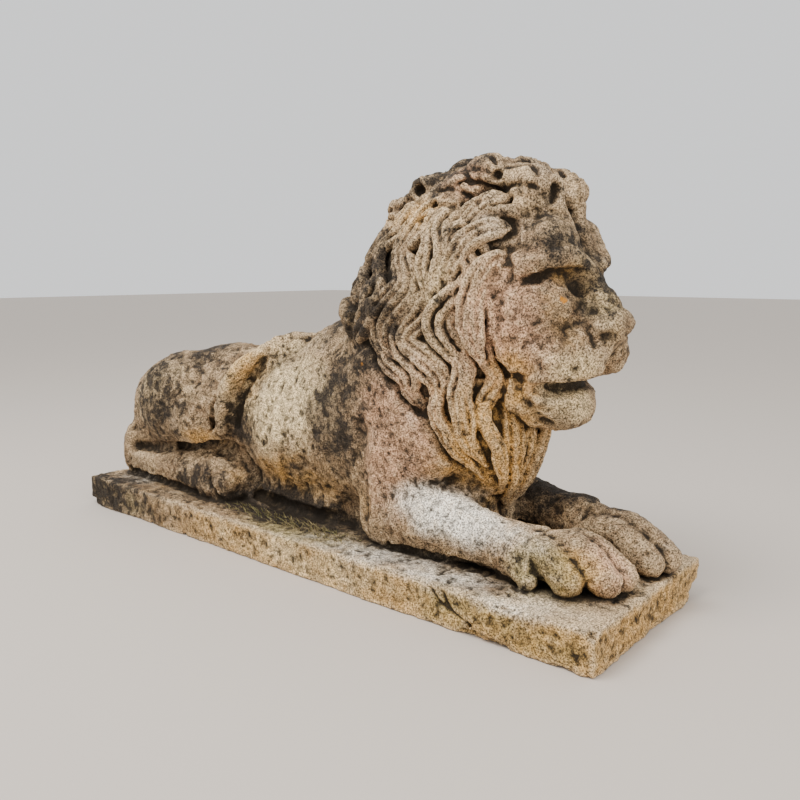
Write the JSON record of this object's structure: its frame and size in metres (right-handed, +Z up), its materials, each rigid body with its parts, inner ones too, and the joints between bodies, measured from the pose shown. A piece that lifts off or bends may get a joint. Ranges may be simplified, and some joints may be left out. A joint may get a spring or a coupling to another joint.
{
  "type": "lion garden statue",
  "caption": "Recumbent lion with a full wavy mane and outstretched forelegs, carved in weathered limestone as one piece with the long slab it lies on.",
  "frame": {"origin": "centre of the slab's underside", "axes": "+X along the slab towards the lion's front, +Y to the lion's left, +Z up"},
  "size_m": [1.135, 0.335, 0.6336],
  "materials": {
    "limestone": "weathered, rough, with dark crust, lichen and ochre stains"
  },
  "bodies": {
    "root": {"lion_statue": "limestone"}
  },
  "joints": []
}
